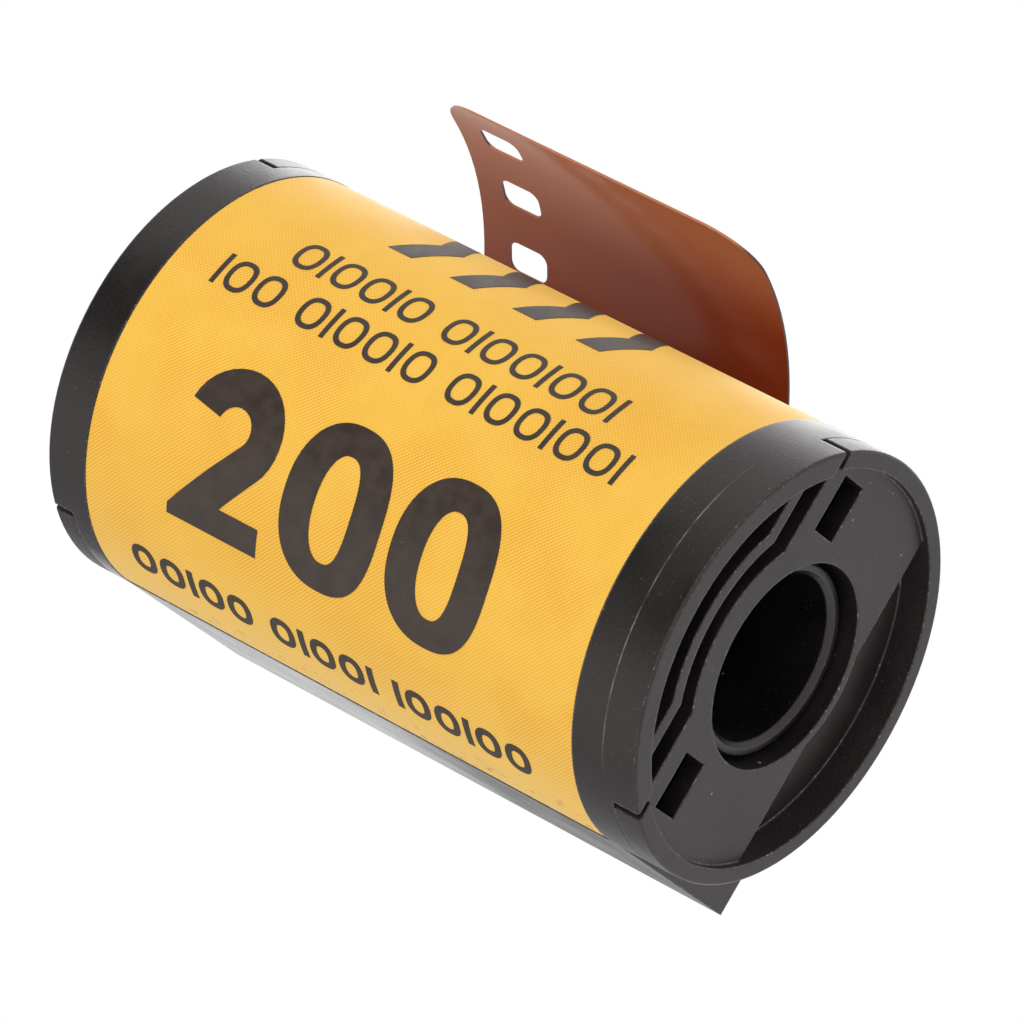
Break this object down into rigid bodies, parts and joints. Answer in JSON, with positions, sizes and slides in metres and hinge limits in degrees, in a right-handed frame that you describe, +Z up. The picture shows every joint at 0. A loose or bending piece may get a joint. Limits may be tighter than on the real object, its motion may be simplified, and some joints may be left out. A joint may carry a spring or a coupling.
{
  "type": "35 mm film cartridge",
  "caption": "Reusable 35 mm film cartridge with push-on end caps, a turning spool and a curled film leader.",
  "frame": {"origin": "on the spool's axis, where the straight wall of the rewind socket begins", "axes": "+X along the spool, out of the rewind socket; +Z up, with the mouth's outer lip flat on the ground; +Y the way the mouth points"},
  "size_m": [0.0475, 0.0325, 0.0324],
  "materials": {
    "black_plastic": "satin, finely speckled",
    "spool_plastic": "satin",
    "label_paper": "printed paper",
    "label_ink": "flat ink",
    "film_base": "glossy film",
    "tape": "clear adhesive tape",
    "felt": "short velvet"
  },
  "bodies": {
    "shell": {"body_shell": "black_plastic", "paper_label": "label_paper", "label_digits": "label_ink", "label_marks": "label_ink", "film_leader": "film_base", "outer_felt": "felt", "inner_felt": "felt"},
    "spool": {"spool": "spool_plastic", "film_roll": "film_base", "film_tape": "tape"},
    "near_cap": {"near_end_cap": "black_plastic"},
    "far_cap": {"far_end_cap": "black_plastic"}
  },
  "joints": [
    {"name": "spool_spin", "type": "hinge", "parent": "shell", "child": "spool", "pos_m": [0, 0, 0], "axis": [1, 0, 0], "continuous": true},
    {"name": "near_cap_slide", "type": "slide", "parent": "shell", "child": "near_cap", "axis": [1, 0, 0], "range_m": [0, 0.008]},
    {"name": "far_cap_slide", "type": "slide", "parent": "shell", "child": "far_cap", "axis": [-1, 0, 0], "range_m": [0, 0.008]}
  ]
}
